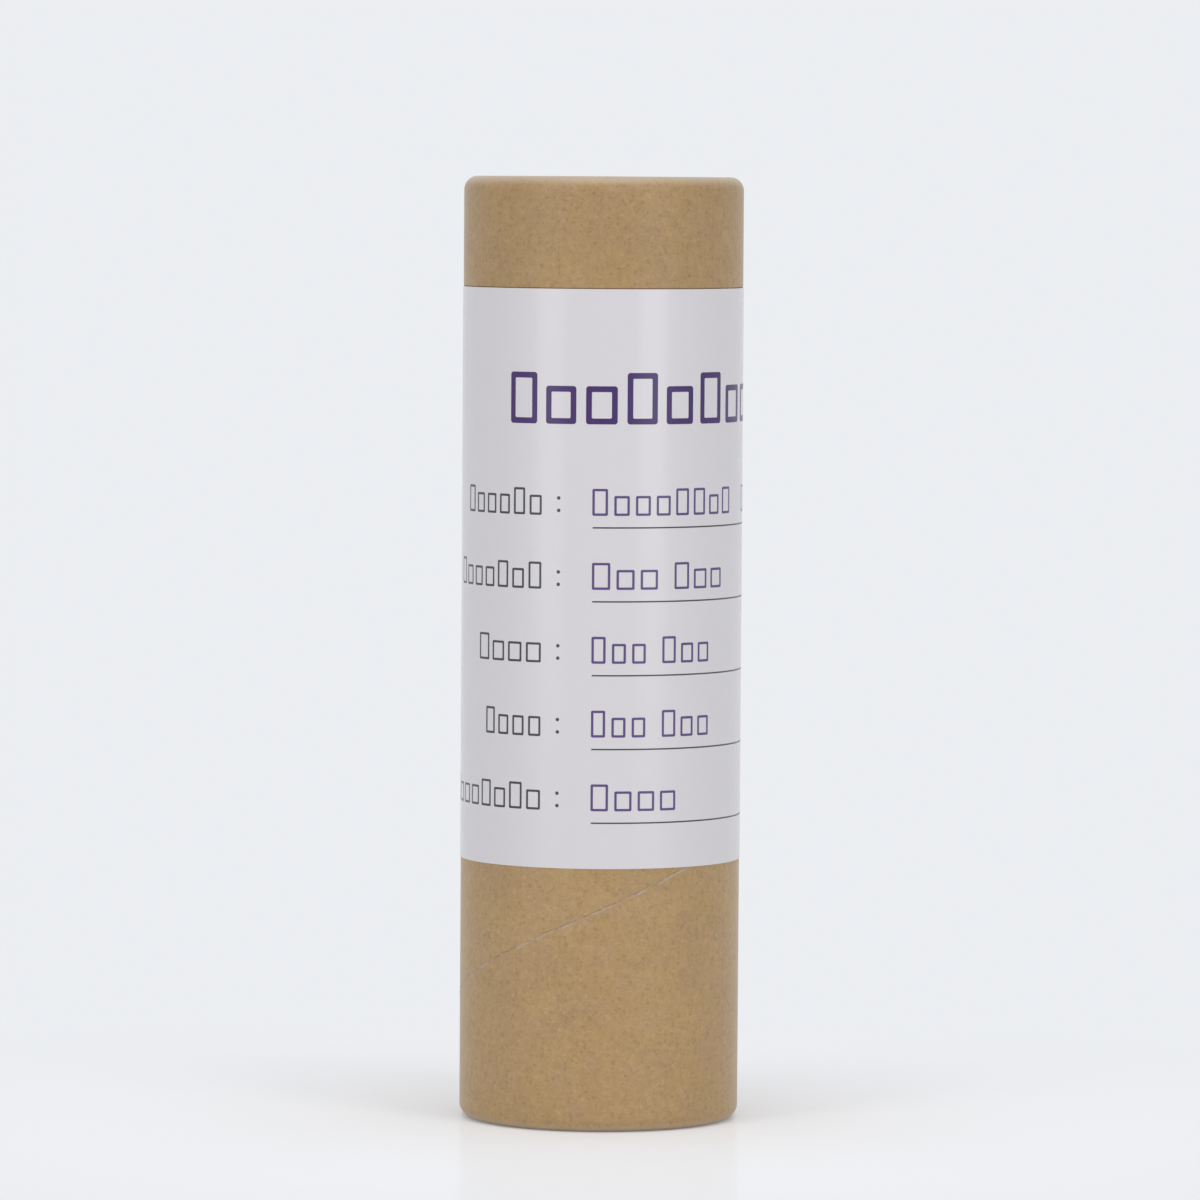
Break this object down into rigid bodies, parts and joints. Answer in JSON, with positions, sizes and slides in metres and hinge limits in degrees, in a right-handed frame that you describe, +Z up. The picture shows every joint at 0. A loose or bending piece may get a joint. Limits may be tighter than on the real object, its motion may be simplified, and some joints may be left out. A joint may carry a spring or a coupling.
{
  "type": "kraft paper tube canister of glass capillary tubes",
  "caption": "Slim round kraft paper tube canister with rolled ends, a plain pull-off lid and a wrap label, filled with a bundle of fine glass capillary tubes.",
  "frame": {"origin": "middle of the base, on the surface it stands on", "axes": "+Z up along the tube; the front of the label faces -Y"},
  "size_m": [0.0322, 0.0322, 0.108],
  "materials": {
    "kraft_paper": "matt, fibrous, spiral wound",
    "kraft_board": "matt, pressed",
    "liner_paper": "matt, smooth",
    "label_paper": "coated white, semi-gloss, plain printed bars",
    "glass": "clear, fire-drawn"
  },
  "bodies": {
    "canister": {"body_tube": "kraft_paper", "base_disc": "kraft_board", "inner_tube": "liner_paper", "label": "label_paper", "capillary_tubes_1": "glass", "capillary_tubes_2": "glass", "capillary_tubes_3": "glass", "capillary_tubes_4": "glass"},
    "lid": {"lid_tube": "kraft_paper", "lid_disc": "kraft_board"}
  },
  "joints": [
    {"name": "lid_pull", "type": "slide", "parent": "canister", "child": "lid", "axis": [0, 0, 1], "range_m": [0, 0.03]}
  ]
}
